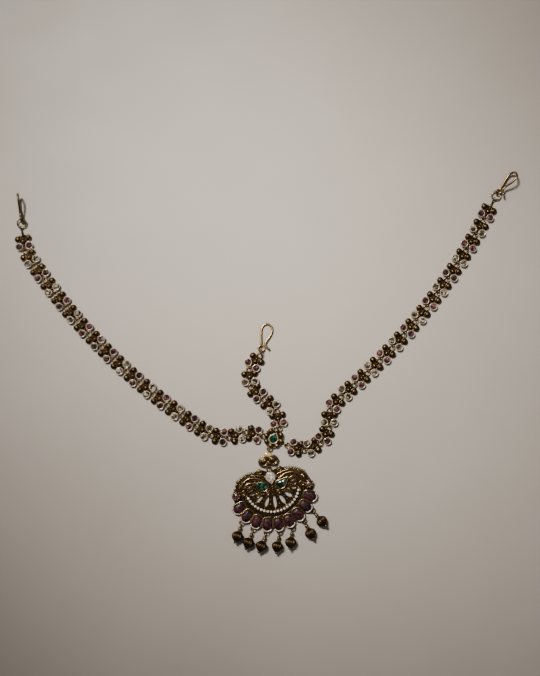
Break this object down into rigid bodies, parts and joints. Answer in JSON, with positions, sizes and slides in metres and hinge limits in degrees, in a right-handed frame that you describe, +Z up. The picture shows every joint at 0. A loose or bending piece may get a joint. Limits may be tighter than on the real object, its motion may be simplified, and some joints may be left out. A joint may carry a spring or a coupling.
{
  "type": "matha patti",
  "caption": "Forehead jewel with strands of stone-set flower links that meet at a green junction flower and carry a pierced ruby fan pendant with bead drops and wire hair hooks",
  "frame": {"origin": "on the table under the middle of the junction flower, where the three strands and the bail meet", "axes": "+X to the right in the picture, along the spread of the side strands, +Y up the parting towards the middle hook, +Z up from the table"},
  "size_m": [0.2401, 0.1811, 0.0073],
  "materials": {
    "antique_gold": "antique gold plate, dark in the recesses and polished on the high spots",
    "ruby_links": "antique gold flower links set with ruby pink stones",
    "clear_links": "antique gold flower links set with clear stones",
    "green_setting": "antique gold flower set with one green drop stone",
    "ruby_fan": "antique gold fan set with dark ruby petals, green and clear stones and bright beads"
  },
  "bodies": {
    "root": {"left_flower_01": "ruby_links", "left_flower_02": "clear_links", "left_flower_03": "ruby_links", "left_flower_04": "clear_links", "left_flower_05": "ruby_links", "left_flower_06": "clear_links", "left_flower_07": "ruby_links", "left_flower_08": "clear_links", "left_flower_09": "ruby_links", "left_flower_10": "clear_links", "left_flower_11": "ruby_links", "left_flower_12": "clear_links", "left_flower_13": "ruby_links", "left_flower_14": "clear_links", "left_flower_15": "ruby_links", "left_flower_16": "clear_links", "left_flower_17": "ruby_links", "left_flower_18": "clear_links", "left_flower_19": "ruby_links", "right_flower_01": "ruby_links", "right_flower_02": "clear_links", "right_flower_03": "ruby_links", "right_flower_04": "clear_links", "right_flower_05": "ruby_links", "right_flower_06": "clear_links", "right_flower_07": "ruby_links", "right_flower_08": "clear_links", "right_flower_09": "ruby_links", "right_flower_10": "clear_links", "right_flower_11": "ruby_links", "right_flower_12": "clear_links", "right_flower_13": "ruby_links", "right_flower_14": "clear_links", "right_flower_15": "ruby_links", "right_flower_16": "clear_links", "right_flower_17": "ruby_links", "right_flower_18": "clear_links", "right_flower_19": "ruby_links", "centre_flower_1": "ruby_links", "centre_flower_2": "clear_links", "centre_flower_3": "ruby_links", "centre_flower_4": "clear_links", "centre_flower_5": "ruby_links", "junction_flower": "green_setting", "pendant": "ruby_fan", "bail": "antique_gold", "drop_1": "antique_gold", "drop_2": "antique_gold", "drop_3": "antique_gold", "drop_4": "antique_gold", "drop_5": "antique_gold", "drop_6": "antique_gold", "drop_7": "antique_gold", "left_hook": "antique_gold", "right_hook": "antique_gold", "centre_hook": "antique_gold", "left_ring": "antique_gold", "right_ring": "antique_gold", "centre_ring": "antique_gold", "junction_ring": "antique_gold"}
  },
  "joints": []
}
